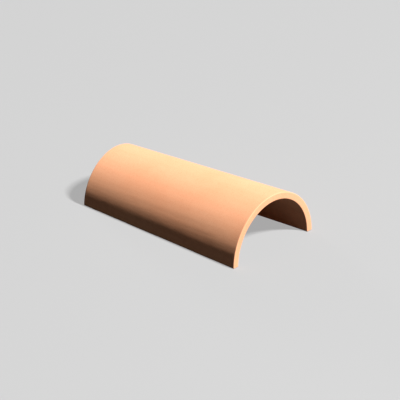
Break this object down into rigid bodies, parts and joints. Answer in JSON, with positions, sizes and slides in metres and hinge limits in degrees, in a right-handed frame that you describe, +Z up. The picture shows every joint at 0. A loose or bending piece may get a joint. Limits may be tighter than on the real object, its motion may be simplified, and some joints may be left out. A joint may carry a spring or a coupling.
{
  "type": "barrel roof tile",
  "caption": "Half-round clay roof tile that tapers from a wide tail to a narrow head, with an open underside; it laps over its neighbours to cover a roof.",
  "frame": {"origin": "on the plane that both feet rest on, under the middle of the tile's length and width", "axes": "+Y up the roof from the wide tail to the narrow head, +X across the tile, +Z up through the crown"},
  "size_m": [0.1998, 0.35, 0.0999],
  "materials": {
    "fired_clay": "matte"
  },
  "bodies": {
    "root": {"barrel_tile": "fired_clay"}
  },
  "joints": []
}
